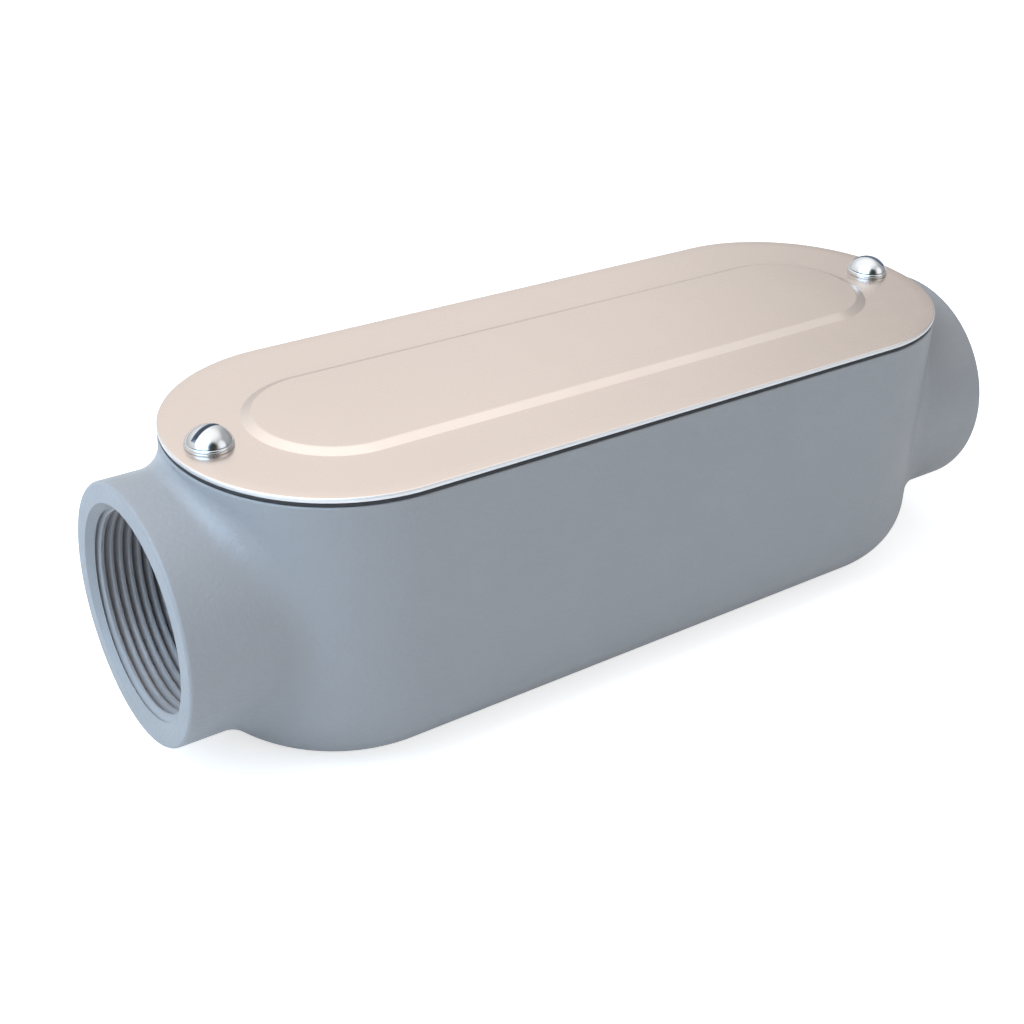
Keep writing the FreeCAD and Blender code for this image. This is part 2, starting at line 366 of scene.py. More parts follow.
class Nodes:
    """A node tree that is filled node by node, with short forms for what recurs."""

    def __init__(self, tree: bpy.types.NodeTree) -> None:
        """Take a tree to fill."""
        self.tree = tree

    @classmethod
    def of(cls, owner: bpy.types.Material | bpy.types.World) -> "Nodes":
        """Empty the tree of a material or a world and take it."""
        owner.use_nodes = True
        owner.node_tree.nodes.clear()
        return cls(owner.node_tree)

    def node(self, kind: str, inputs: dict | None = None, **settings: object) -> bpy.types.Node:
        """Add a node.

        Args:
            kind: node type.
            inputs: values or sockets by input name or index.
            settings: properties of the node.

        Returns:
            The node.
        """
        made = self.tree.nodes.new(kind)
        for key, value in settings.items():
            setattr(made, key, value)
        for key, value in (inputs or {}).items():
            if isinstance(value, bpy.types.NodeSocket):
                self.tree.links.new(value, made.inputs[key])
            else:
                made.inputs[key].default_value = value
        return made

    def maths(self, operation: str, *values: object, clamped: bool = False) -> bpy.types.NodeSocket:
        """Add a Math node and return its result."""
        settings = {"operation": operation, "use_clamp": clamped}
        return self.node("ShaderNodeMath", dict(enumerate(values)), **settings).outputs[0]

    def vector(self, **parts: object) -> bpy.types.NodeSocket:
        """Combine X, Y and Z, each 0 when it is left out, and return the vector."""
        return self.node("ShaderNodeCombineXYZ", parts).outputs[0]

    def parts(self, vector: bpy.types.NodeSocket) -> bpy.types.bpy_prop_collection:
        """Split a vector and return the outputs X, Y and Z."""
        return self.node("ShaderNodeSeparateXYZ", {0: vector}).outputs

    def ranged(
        self, value: bpy.types.NodeSocket, span: Point2, levels: Point2 = (0.0, 1.0), smooth: bool = True
    ) -> bpy.types.NodeSocket:
        """Map a value from a span onto two levels.

        Args:
            value: the value.
            span: where the change starts and ends.
            levels: result up to the start, and from the end on.
            smooth: ease in and out, or follow a straight line.

        Returns:
            The result.
        """
        limits = {"From Min": span[0], "From Max": span[1], "To Min": levels[0], "To Max": levels[1]}
        kind = "SMOOTHSTEP" if smooth else "LINEAR"
        made = self.node("ShaderNodeMapRange", {"Value": value, **limits}, interpolation_type=kind)
        return made.outputs["Result"]

    def between(self, factor: object, first: object, second: object) -> bpy.types.NodeSocket:
        """Mix two numbers and return the result."""
        return self.node("ShaderNodeMix", {"Factor": factor, "A": first, "B": second}).outputs["Result"]

    def tinted(self, factor: object, under: object, over: Colour) -> bpy.types.NodeSocket:
        """Mix a colour, or the socket of one, with a second colour.

        Args:
            factor: share of the second colour.
            under: the first colour.
            over: the second colour.

        Returns:
            The result.
        """
        first = under if isinstance(under, bpy.types.NodeSocket) else (*under, 1.0)
        inputs = {"Factor": factor, 6: first, 7: (*over, 1.0)}
        return self.node("ShaderNodeMix", inputs, data_type="RGBA").outputs[2]

    def glow(self, colour: Colour, strength: object) -> bpy.types.NodeSocket:
        """Add a Background shader and return it."""
        return self.node("ShaderNodeBackground", {"Color": (*colour, 1.0), "Strength": strength}).outputs[0]

    def either(self, mask: object, first: object, second: object) -> bpy.types.NodeSocket:
        """Mix two shaders, the second where the mask is 1, and return the result."""
        return self.node("ShaderNodeMixShader", {0: mask, 1: first, 2: second}).outputs[0]


class GeometryTree(Nodes):
    """A Geometry Nodes tree with named inputs."""

    def __init__(self, name: str) -> None:
        """Start a tree with a geometry input and output."""
        super().__init__(bpy.data.node_groups.new(name, "GeometryNodeTree"))
        for way in ("INPUT", "OUTPUT"):
            self.tree.interface.new_socket("Geometry", in_out=way, socket_type="NodeSocketGeometry")
        self.entry = self.node("NodeGroupInput")
        self.exit = self.node("NodeGroupOutput")

    def inputs(self, *names: str, kind: str = "NodeSocketFloat") -> list[bpy.types.NodeSocket]:
        """Add named inputs and return their sockets inside the tree."""
        for name in names:
            self.tree.interface.new_socket(name, in_out="INPUT", socket_type=kind)
        return [self.entry.outputs[name] for name in names]

    def finish(self, geometry: bpy.types.NodeSocket, material: bpy.types.Material) -> None:
        """End the tree in Realize Instances and Set Material.

        Args:
            geometry: the geometry to put out.
            material: its material.
        """
        real = self.node("GeometryNodeRealizeInstances", {"Geometry": geometry}).outputs[0]
        dressed = self.node("GeometryNodeSetMaterial", {"Geometry": real, "Material": material})
        self.tree.links.new(dressed.outputs["Geometry"], self.exit.inputs["Geometry"])

    def run(self, name: str, values: dict[str, object]) -> bpy.types.Mesh:
        """Evaluate the tree on an empty mesh.

        Args:
            name: name of the resulting mesh.
            values: input values by name.

        Returns:
            The plain mesh.
        """
        holder = bpy.data.objects.new(name, bpy.data.meshes.new(name))
        bpy.context.scene.collection.objects.link(holder)
        modifier = holder.modifiers.new("nodes", "NODES")
        modifier.node_group = self.tree
        for item in self.tree.interface.items_tree:
            if item.item_type == "SOCKET" and item.in_out == "INPUT" and item.name in values:
                modifier[item.identifier] = values[item.name]
        mesh = baked(holder).data
        bpy.data.objects.remove(holder)
        return mesh


# --- Shader groups and finishes ------------------------------------------------------------------

class ShaderGroup(Nodes):
    """A shader node group with named numbers in and out, placed in every finish."""

    def __init__(self, name: str, inputs: dict[str, float], outputs: Sequence[str]) -> None:
        """Start a group.

        Args:
            name: name of the group.
            inputs: inputs and their defaults.
            outputs: names of the outputs.
        """
        super().__init__(bpy.data.node_groups.new(name, "ShaderNodeTree"))
        face = self.tree.interface
        for label, default in inputs.items():
            face.new_socket(label, in_out="INPUT", socket_type="NodeSocketFloat").default_value = default
        for label in outputs:
            face.new_socket(label, in_out="OUTPUT", socket_type="NodeSocketFloat")
        self.entry = self.node("NodeGroupInput")
        self.exit = self.node("NodeGroupOutput")
        self.place = self.node("ShaderNodeTexCoord").outputs

    def noise(self, scale: object, detail: float) -> bpy.types.NodeSocket:
        """Add a noise texture laid out on the piece itself and return its value, centred on 0.5."""
        made = self.node("ShaderNodeTexNoise", {
            "Vector": self.place["Object"], "Scale": scale, "Detail": detail, "Roughness": NOISE_ROUGHNESS,
        })
        return made.outputs["Fac"]

    def give(self, name: str, socket: bpy.types.NodeSocket) -> None:
        """Link a socket to one of the group's outputs."""
        self.tree.links.new(socket, self.exit.inputs[name])


def grain_group() -> ShaderGroup:
    """Shared surface grain: fine bumps over slow waves, with patches of tone and of gloss.

    Returns:
        The group, with outputs Height, Tone and Gloss.
    """
    sizes = {"Fine Scale": 900.0, "Wave Scale": 60.0, "Wave Share": 0.5, "Patch Scale": 12.0}
    group = ShaderGroup("surface_grain", sizes, ("Height", "Tone", "Gloss"))
    given = group.entry.outputs
    fine, wave = group.noise(given["Fine Scale"], 2.0), group.noise(given["Wave Scale"], 1.0)
    group.give("Height", group.between(given["Wave Share"], fine, wave))
    group.give("Tone", group.noise(given["Patch Scale"], 3.0))
    finer = group.maths("MULTIPLY", given["Patch Scale"], GLOSS_PATCHES_PER_TONE_PATCH)
    group.give("Gloss", group.noise(finer, 2.0))
    return group


def wear_and_sheen_group() -> ShaderGroup:
    """Shared mask of worn edges and painted sheen: worn where the surface turns sharply outwards, broken up
    by noise, and painted sheen where it leans over.

    Returns:
        The group, with output Mask.
    """
    group = ShaderGroup("edge_wear_and_sheen", {"Slope Gain": 0.0}, ("Mask",))
    point = group.node("ShaderNodeNewGeometry").outputs["Pointiness"]
    sharp = group.ranged(point, EDGE_POINTINESS, smooth=False)
    lightening = group.maths("MULTIPLY", sharp, group.noise(EDGE_BREAK_SCALE, 2.0))
    upright = group.parts(group.place["Normal"])["Z"]
    leaning = group.maths("SUBTRACT", 1.0, group.maths("MULTIPLY", upright, upright))
    steep_sheen = group.maths("POWER", leaning, SLOPE_SHEEN_POWER)
    gain = group.entry.outputs["Slope Gain"]
    # painted sheen: steep faces get the lighter edge tone, scaled by the slope gain, on top of the worn
    # edges
    group.give("Mask", group.maths("MULTIPLY_ADD", steep_sheen, gain, lightening, clamped=True))
    return group


@dataclass(frozen=True)
class Finish:
    """A surface finish: two tones, gloss range and grain, all worked out on the piece itself."""

    name: str
    light: Colour
    dark: Colour
    metallic: float
    roughness: Point2
    grain_scale: float
    wave_scale: float
    wave_share: float
    patch_scale: float
    relief: float
    # share of the lighter edge tone: worn edges, plus painted sheen on steep faces where the slope gain is
    # set
    wear_and_sheen: float
    wear_and_sheen_tone: Colour
    specular: float = 0.5
    slope_sheen_gain: float = 0.0
    wear_and_sheen_roughness: float = 0.0
    # second tone of marked faces: bare metal in the coat's thread, painted shade inside the plating's screw
    # slots
    bare_and_shade_tone: Colour = (0.0, 0.0, 0.0)
    bare_and_shade_metallic: float = 0.0

    def build(self, grain: ShaderGroup, edge: ShaderGroup) -> bpy.types.Material:
        """Make the material.

        Args:
            grain: the shared grain group.
            edge: the shared group of worn edges and painted sheen.

        Returns:
            The material.
        """
        material = bpy.data.materials.new(self.name)
        tree = Nodes.of(material)
        texture = tree.node("ShaderNodeGroup", {
            "Fine Scale": self.grain_scale, "Wave Scale": self.wave_scale,
            "Wave Share": self.wave_share, "Patch Scale": self.patch_scale,
        }, node_tree=grain.tree).outputs
        # lighter edge tone: worn edges, plus painted sheen on steep faces
        lightening = tree.node("ShaderNodeGroup", {"Slope Gain": self.slope_sheen_gain}, node_tree=edge.tree)
        share = tree.maths("MULTIPLY", lightening.outputs["Mask"], self.wear_and_sheen)
        tone = tree.tinted(texture["Tone"], self.dark, self.light)
        # marked faces: bare metal in a thread, painted shade inside a screw slot
        bare_and_shaded = tree.node("ShaderNodeAttribute", attribute_name=MARK).outputs["Fac"]
        gloss = tree.ranged(texture["Gloss"], GLOSS_SPREAD, self.roughness, smooth=False)
        bump = tree.node(
            "ShaderNodeBump", {"Height": texture["Height"], "Distance": self.relief, "Strength": 1.0}
        )
        shader = tree.node("ShaderNodeBsdfPrincipled", {
            "Base Color": tree.tinted(bare_and_shaded, tree.tinted(share, tone, self.wear_and_sheen_tone), self.bare_and_shade_tone),
            "Metallic": tree.between(bare_and_shaded, self.metallic, self.bare_and_shade_metallic),
            "Roughness": tree.maths("MULTIPLY_ADD", share, self.wear_and_sheen_roughness, gloss),
            "Normal": bump.outputs["Normal"], "Specular IOR Level": self.specular,
        })
        tree.node("ShaderNodeOutputMaterial", {"Surface": shader.outputs["BSDF"]})
        return material


POWDER_COAT = Finish(
    name="powder_coat", light=(0.279, 0.293, 0.313), dark=(0.256, 0.269, 0.288), metallic=0.0,
    roughness=(0.34, 0.46), grain_scale=620.0, wave_scale=150.0, wave_share=0.30, patch_scale=9.0,
    relief=0.00032, wear_and_sheen=0.25, wear_and_sheen_tone=(0.36, 0.38, 0.41), specular=0.55,
    bare_and_shade_tone=(0.36, 0.36, 0.375), bare_and_shade_metallic=0.3,
)
# Painted sheen: the cover's steep faces, its emboss slopes and rolled edge, are whitened towards the edge
# tone; sharp edges are lightened as worn too.
SHEET_METAL = Finish(
    name="cover_sheet", light=(0.788, 0.686, 0.624), dark=(0.754, 0.652, 0.590), metallic=1.0,
    roughness=(0.23, 0.30), grain_scale=1500.0, wave_scale=40.0, wave_share=0.6, patch_scale=14.0,
    relief=0.000012, wear_and_sheen=1.0, wear_and_sheen_tone=(0.84, 0.84, 0.85), slope_sheen_gain=3.0, wear_and_sheen_roughness=0.22,
)
# The plating's marked tone is painted shade: faces inside each screw slot are darkened as the recess would
# be in shade.
BRIGHT_PLATE = Finish(
    name="bright_plate", light=(0.71, 0.73, 0.75), dark=(0.64, 0.66, 0.69), metallic=1.0,
    roughness=(0.10, 0.18), grain_scale=2500.0, wave_scale=500.0, wave_share=0.5, patch_scale=120.0,
    relief=0.000004, wear_and_sheen=0.2, wear_and_sheen_tone=(0.9, 0.9, 0.9), bare_and_shade_tone=(0.25, 0.29, 0.36), bare_and_shade_metallic=0.4,
)
GASKET_RUBBER = Finish(
    name="gasket_rubber", light=(0.030, 0.031, 0.034), dark=(0.018, 0.018, 0.020), metallic=0.0,
    roughness=(0.62, 0.78), grain_scale=1800.0, wave_scale=200.0, wave_share=0.3, patch_scale=60.0,
    relief=0.00003, wear_and_sheen=0.0, wear_and_sheen_tone=(0.03, 0.03, 0.03),
)


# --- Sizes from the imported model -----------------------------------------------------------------

@dataclass(frozen=True)
class Datums:
    """Planes, axes and radii that every piece shares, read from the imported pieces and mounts."""

    end_radius: float
    centre_x: float
    rim_height: float
    gasket_top: float
    hub_face: float
    axis_height: float
    thread_root: float
    screw_x: float
    cover_top: float
    head_top: float

    @classmethod
    def read(cls) -> "Datums":
        """Read the datums from the frame."""
        body_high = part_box("conduit_body")[1]
        gasket_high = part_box("gasket")[1]
        screw_low, screw_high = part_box("right_cover_screw")
        mounts = {mount["name"]: mount for mount in frame["record"]["mounts"]}
        hub = mounts["right_hub"]
        return cls(
            end_radius=gasket_high.y,
            centre_x=gasket_high.x - gasket_high.y,
            rim_height=body_high.z,
            gasket_top=gasket_high.z,
            hub_face=body_high.x,
            axis_height=hub["pos_m"][2],
            thread_root=hub["dims"]["r_mm"] * MM,
            screw_x=(screw_low.x + screw_high.x) / 2,
            cover_top=gasket_high.z + Cover.sheet,
            head_top=screw_high.z,
        )

    def on_screw_axis(self, end: End, height: float) -> Point3:
        """The point at a height on the axis of the screw at one end."""
        return (end.value * self.screw_x, 0.0, height)


# --- Housing -------------------------------------------------------------------------------------

@dataclass
class Housing:
    """The casting: a trough with a rounded base edge, two hubs rolled into it, and its cores."""

    at: Datums
    hub_wall: float = 8.0 * MM
    base_edge: float = 24.7 * MM
    rim_edge: float = 0.9 * MM
    hub_edge: float = 1.3 * MM
    blend_top: float = 4.4 * MM
    blend_side: float = 19.0 * MM
    blend_bottom: float = 17.0 * MM
    top_easing: float = 2.0
    bottom_easing: float = 1.5
    row_easing: float = 1.25
    wall: float = 5.0 * MM
    floor: float = 5.0 * MM
    thread_length: float = 28.0 * MM
    mouth_chamfer: float = 1.0 * MM
    throat_length: float = 9.0 * MM
    throat_radius: float = 31.4 * MM
    throat_edge: float = 1.8 * MM
    throat_columns: int = 128
    boss_radius: float = 7.97 * MM
    boss_depth: float = 13.6 * MM
    boss_steps: int = 48
    tapped_radius: float = 4.02 * MM
    tapped_depth: float = 11.0 * MM
    tapped_steps: int = 40
    overrun: float = 2.0 * MM
    side_columns: int = 64
    panel_columns: int = 56
    pitch: float = 3.175 * MM
    thread_depth: float = 2.4 * MM
    flank_gain: float = 3.0
    thread_lead: float = 1.0 * MM
    lead_slope: float = 0.95
    taper: float = 1.0 / 32.0
    first_groove: float = 3.0 * MM
    rows_per_turn: int = 12
    thread_columns: int = 168
    threaded_turns: int = 11
    bare_start: float = 4.3 * MM
    bare_margin: float = 0.1 * MM
    crease: float = 32.0

    def __post_init__(self) -> None:
        """Work out what follows from the sizes."""
        self.hub_radius = self.at.thread_root + self.hub_wall
        self.thread_end = self.at.hub_face - self.thread_length
        self.chamber_end = self.thread_end - self.throat_length
        self.outline = Obround(self.at.centre_x, self.side_columns, self.panel_columns)
        side_top = np.array(self.at.rim_height - self.rim_edge)
        self.side_length = float(self.profile_length(side_top))

    def blend_radius(self, turn: np.ndarray) -> np.ndarray:
        """Radius of the ball that rolls round the root of a hub.

        Args:
            turn: angles round the hub, from +Y towards +Z, in radians.

        Returns:
            The radius at each angle.
        """
        rise = np.sin(turn)
        above = np.clip(rise, 0, 1) ** self.top_easing
        below = np.clip(-rise, 0, 1) ** self.bottom_easing
        upper = self.blend_side + (self.blend_top - self.blend_side) * above
        lower = self.blend_side + (self.blend_bottom - self.blend_side) * below
        return np.where(rise > 0, upper, lower)

    def ball_centres(self, turn: np.ndarray, radius: np.ndarray) -> tuple[np.ndarray, np.ndarray]:
        """Where a ball that touches both the hub and the trough has its centre.

        Args:
            turn: angles round the hub in radians.
            radius: radius of the ball at each angle.

        Returns:
            Centres and touching points on the trough, each points x 3, with x from the end's centre.
        """
        reach = self.hub_radius + radius
        across = reach * np.cos(turn)
        height = self.at.axis_height + reach * np.sin(turn)
        flat = self.at.end_radius - self.base_edge
        drop = np.clip(self.base_edge - height, 0, None)
        span = np.sqrt((self.base_edge + radius) ** 2 - drop ** 2)
        outwards = np.where(drop > 0, flat + span, self.at.end_radius + radius)
        along = np.sqrt(outwards ** 2 - across ** 2)
        share = self.base_edge / (self.base_edge + radius)
        touch_out = np.where(drop > 0, flat + span * share, self.at.end_radius)
        touch_height = np.where(drop > 0, self.base_edge - drop * share, height)
        bearing = np.arctan2(across, along)
        centres = np.column_stack([along, across, height])
        touches = np.column_stack([
            touch_out * np.cos(bearing), touch_out * np.sin(bearing), touch_height
        ])
        return centres, touches

    def wall_profile(self, length: np.ndarray) -> tuple[np.ndarray, np.ndarray]:
        """The trough's outer profile by length along it, from the flat base up the side.

        Args:
            length: distances along the profile.

        Returns:
            Distance from the centre line, and height, at each.
        """
        quarter = self.base_edge * math.pi / 2
        turn = np.clip(length, 0, quarter) / self.base_edge
        flat = self.at.end_radius - self.base_edge
        outwards = flat + self.base_edge * np.sin(turn)
        height = self.base_edge * (1 - np.cos(turn)) + np.clip(length - quarter, 0, None)
        return outwards, height

    def profile_length(self, height: np.ndarray) -> np.ndarray:
        """Length along the outer profile at which it reaches each height."""
        quarter = self.base_edge * math.pi / 2
        turn = np.arccos(np.clip(1 - height / self.base_edge, -1, 1))
        return np.where(height < self.base_edge, self.base_edge * turn, quarter + height - self.base_edge)

    def end_patch(self, steps: int = 22) -> np.ndarray:
        """The rounded end round a hub: lines from the touching curve out to the patch's four sides.

        Args:
            steps: rows between the curve and the sides.

        Returns:
            Array of rows x columns x 3, for the +X end.
        """
        side = self.side_columns
        turn = self.hub_turn()
        touches = self.ball_centres(turn, self.blend_radius(turn))[1]
        hole = np.column_stack([
            np.arctan2(touches[:, 1], touches[:, 0]), self.profile_length(touches[:, 2])
        ])
        top = self.side_length
        share = np.arange(side) / side
        bearings = math.pi * (0.5 - share)
        full = np.full(side, math.pi / 2)
        frame_points = np.vstack([
            np.column_stack([full, share * top]),
            np.column_stack([bearings, np.full(side, top)]),
            np.column_stack([-full, (1 - share) * top]),
            np.column_stack([-bearings, np.zeros(side)]),
        ])
        rows = []
        for step in np.linspace(0, 1, steps + 1) ** self.row_easing:
            bearing, length = (hole + (frame_points - hole) * step).T
            outwards, height = self.wall_profile(length)
            rows.append(np.column_stack([
                self.at.centre_x + outwards * np.cos(bearing), outwards * np.sin(bearing), height
            ]))
        return np.array(rows)

    def hub_turn(self) -> np.ndarray:
        """Angles of the columns round a hub, from the lower corner on +Y, in radians."""
        count = 4 * self.side_columns
        return -math.pi / 4 + np.arange(count) * 2 * math.pi / count

    def hub_skin(self, blend_steps: int = 14, wall_steps: int = 5, edge_steps: int = 7) -> np.ndarray:
        """Blend, hub wall and rounded hub edge, for the +X end.

        Args:
            blend_steps: rows across the blend.
            wall_steps: rows along the hub's wall.
            edge_steps: rows round the edge of the hub's face.

        Returns:
            Array of rows x columns x 3.
        """
        turn = self.hub_turn()
        radius = self.blend_radius(turn)
        centres, touches = self.ball_centres(turn, radius)
        axis = np.array([0.0, 0.0, self.at.axis_height])
        outward = np.column_stack([np.zeros_like(turn), np.cos(turn), np.sin(turn)])
        landings = centres * [1, 0, 0] + axis + outward * self.hub_radius
        first = (touches - centres) / radius[:, None]
        last = (landings - centres) / radius[:, None]
        spread = np.arccos(np.clip(np.sum(first * last, axis=1), -1, 1))[:, None]
        shift = np.array([self.at.centre_x, 0.0, 0.0])
        rows = []
        for step in np.linspace(0, 1, blend_steps + 1):
            across = np.sin((1 - step) * spread) * first + np.sin(step * spread) * last
            rows.append(centres + radius[:, None] * across / np.sin(spread) + shift)
        wall_end = self.at.hub_face - self.hub_edge
        for step in np.linspace(0, 1, wall_steps + 1)[1:]:
            row = rows[blend_steps].copy()
            row[:, 0] += (wall_end - row[:, 0]) * step
            rows.append(row)
        for angle in np.linspace(0, math.pi / 2, edge_steps + 1)[1:]:
            reach = self.hub_radius - self.hub_edge * (1 - math.cos(angle))
            row = axis + outward * reach
            row[:, 0] = wall_end + self.hub_edge * math.sin(angle)
            rows.append(row)
        return np.array(rows)

    def outer_form(self) -> bpy.types.Object:
        """The casting before anything is cored out, as one closed mesh."""
        draft = MeshDraft()
        turned_about = np.array([-1.0, -1.0, 1.0])
        patch = self.end_patch()
        skin = self.hub_skin()
        for sign in (np.ones(3), turned_about):
            draft.grid(patch * sign, closed=True)
            draft.grid(skin * sign, closed=True)
            draft.cap(skin[-1] * sign)
        lengths = np.linspace(0, self.side_length, self.side_columns + 1)
        outwards, height = self.wall_profile(lengths)
        along = np.linspace(-self.at.centre_x, self.at.centre_x, self.outline.side_steps + 1)
        panel = np.array([
            np.column_stack([along, np.full(len(along), out), np.full(len(along), up)])
            for out, up in zip(outwards, height)
        ])
        draft.grid(panel)
        draft.grid(panel * turned_about)
        edge_centre = (self.at.end_radius - self.rim_edge, self.at.rim_height - self.rim_edge)
        edge = self.outline.sweep(arc(edge_centre, self.rim_edge, 0, 90, 6))
        draft.grid(edge, closed=True)
        draft.cap(edge[-1])
        draft.cap(self.outline.sweep([(outwards[0], 0.0)])[0])
        return draft.build("housing")

    def chamber_core(self) -> bpy.types.Object:
        """What the wiring chamber takes out of the casting, round the two screw bosses."""
        radius = self.at.end_radius - self.wall
        edge = self.base_edge - self.wall
        top = self.at.rim_height + self.overrun
        profile = [(radius - edge, self.floor)]
        profile += arc((radius - edge, self.floor + edge), edge, -90, 0, 10)[1:]
        profile.append((radius, top))
        core = self.outline.solid("chamber_core", profile)
        low = (-self.chamber_end, -2 * radius, -radius)
        combined(core, block("between_walls", low, (self.chamber_end, 2 * radius, 4 * radius)), "INTERSECT")
        for end in End:
            foot = self.at.on_screw_axis(end, self.at.rim_height - self.boss_depth)
            boss = cylinder("boss", self.boss_radius, 2 * self.boss_depth, self.boss_steps, foot)
            combined(core, boss, "DIFFERENCE")
        return core

    def throat_core(self, end: End) -> bpy.types.Object:
        """The smooth bushing at the inner end of a hub, rounded where wires run over it."""
        edge = self.throat_edge
        radius = self.throat_radius + edge
        inner, outer = self.chamber_end - self.overrun, self.thread_end + self.overrun
        profile = [(0.0, inner), (radius, inner)]
        profile += arc((radius, self.chamber_end + edge), edge, -90, -180, 6)
        profile += arc((radius, self.thread_end - edge), edge, 180, 90, 6)
        profile += [(radius, outer), (0.0, outer)]
        rows = turned(profile, self.throat_columns)[:, :, [2, 0, 1]]
        draft = MeshDraft()
        draft.grid((rows + np.array([0.0, 0.0, self.at.axis_height])) * self.facing(end), closed=True)
        return draft.build("throat_core")

    @staticmethod
    def facing(end: End) -> np.ndarray:
        """Half turn about Z for the -X end: it keeps right-hand threads right-handed."""
        return np.array([end.value, end.value, 1.0])

    def thread_tree(self, material: bpy.types.Material) -> GeometryTree:
        """Geometry Nodes for the tapped bore: a sheared grid rolled into a taper pipe thread.

        Args:
            material: finish of the thread.

        Returns:
            The tree, with every size of the thread as an input.
        """
        tree = GeometryTree("taper_pipe_thread")
        root, depth, pitch, taper, first, turns = tree.inputs(
            "Root Radius", "Thread Depth", "Pitch", "Taper", "First Groove", "Turns"
        )
        lead, length, mouth, slope, face_x, axis_z, turn_z = tree.inputs(
            "Lead", "Length", "Mouth Radius", "Lead Slope", "Face X", "Axis Z", "Half Turn"
        )
        rows, columns = tree.inputs("Rows", "Columns", kind="NodeSocketInt")
        maths = tree.maths
        size = {"Size X": 1.0, "Size Y": 1.0, "Vertices X": rows, "Vertices Y": columns}
        grid = tree.node("GeometryNodeMeshGrid", size).outputs["Mesh"]
        place = tree.parts(tree.node("GeometryNodeInputPosition").outputs[0])
        across = maths("ADD", place["X"], 0.5)
        round_share = maths("ADD", place["Y"], 0.5)
        sheared = maths("ADD", maths("MULTIPLY", across, turns), round_share)
        distance = maths("MULTIPLY", maths("SUBTRACT", sheared, 1.0), pitch)
        started = maths("MAXIMUM", maths("SUBTRACT", distance, lead), maths("MULTIPLY", lead, -1.0))
        inward = maths("MINIMUM", started, length)
        grooves = maths("DIVIDE", maths("SUBTRACT", inward, first), pitch)
        wave = maths("PINGPONG", maths("SUBTRACT", grooves, round_share), 0.5)
        ridge = maths("MINIMUM", maths("MULTIPLY", wave, self.flank_gain), 1.0)
        cone = maths("MULTIPLY", maths("MAXIMUM", inward, 0.0), taper)
        threaded = maths("SUBTRACT", maths("SUBTRACT", root, cone), maths("MULTIPLY", ridge, depth))
        led_in = maths("SUBTRACT", mouth, maths("MULTIPLY", inward, slope))
        radius = maths("MAXIMUM", threaded, led_in)
        angle = maths("MULTIPLY", round_share, 2 * math.pi)
        moved = tree.vector(
            X=maths("ADD", face_x, inward),
            Y=maths("MULTIPLY", radius, maths("COSINE", angle)),
            Z=maths("ADD", axis_z, maths("MULTIPLY", radius, maths("SINE", angle))),
        )
        rolled = tree.node("GeometryNodeSetPosition", {"Geometry": grid, "Position": moved}).outputs[0]
        joined = tree.node("GeometryNodeMergeByDistance", {"Geometry": rolled, "Distance": MERGE_DISTANCE})
        faced = tree.node(
            "GeometryNodeTransform", {"Geometry": joined.outputs[0], "Rotation": tree.vector(Z=turn_z)}
        )
        tree.finish(faced.outputs["Geometry"], material)
        return tree

    def thread_core(self, end: End, tree: GeometryTree) -> bpy.types.Object:
        """The tap's own form at one hub: what the threaded bore takes out of the casting.

        Args:
            end: which hub.
            tree: the thread's Geometry Nodes tree.

        Returns:
            The closed core.
        """
        mesh = tree.run("thread_core", {
            "Root Radius": self.at.thread_root, "Thread Depth": self.thread_depth, "Pitch": self.pitch,
            "Taper": self.taper, "First Groove": self.first_groove, "Turns": float(self.threaded_turns),
            "Lead": self.thread_lead, "Length": self.thread_length,
            "Mouth Radius": self.at.thread_root + self.mouth_chamfer,
            "Lead Slope": self.lead_slope, "Face X": -self.at.hub_face,
            "Axis Z": self.at.axis_height, "Half Turn": 0.0 if end is End.LEFT else math.pi,
            "Rows": self.threaded_turns * self.rows_per_turn + 1, "Columns": self.thread_columns + 1,
        })
        return tidy_object("thread_core", mesh)

    def build(self, material: bpy.types.Material) -> bpy.types.Object:
        """Make the finished casting.

        Args:
            material: the coat.

        Returns:
            The housing.
        """
        casting = self.outer_form()
        combined(casting, self.chamber_core(), "DIFFERENCE")
        tree = self.thread_tree(material)
        for end in End:
            combined(casting, self.throat_core(end), "DIFFERENCE")
            combined(casting, self.thread_core(end, tree), "DIFFERENCE")
            foot = self.at.on_screw_axis(end, self.at.rim_height - self.tapped_depth)
            hole = cylinder(
                "tapped_hole", self.tapped_radius, 2 * self.tapped_depth, self.tapped_steps, foot
            )
            combined(casting, hole, "DIFFERENCE")
        centres = face_centres(casting.data)
        from_axis = np.hypot(centres[:, 1], centres[:, 2] - self.at.axis_height)
        outwards = np.abs(centres[:, 0])
        in_thread = (outwards > self.thread_end) & (from_axis < self.at.thread_root + self.bare_margin)
        mark_faces(casting.data, in_thread & (outwards < self.at.hub_face - self.bare_start))
        finish_piece(casting, material, self.crease)
        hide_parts("conduit_body")
        return casting


# --- Gasket and cover ----------------------------------------------------------------------------

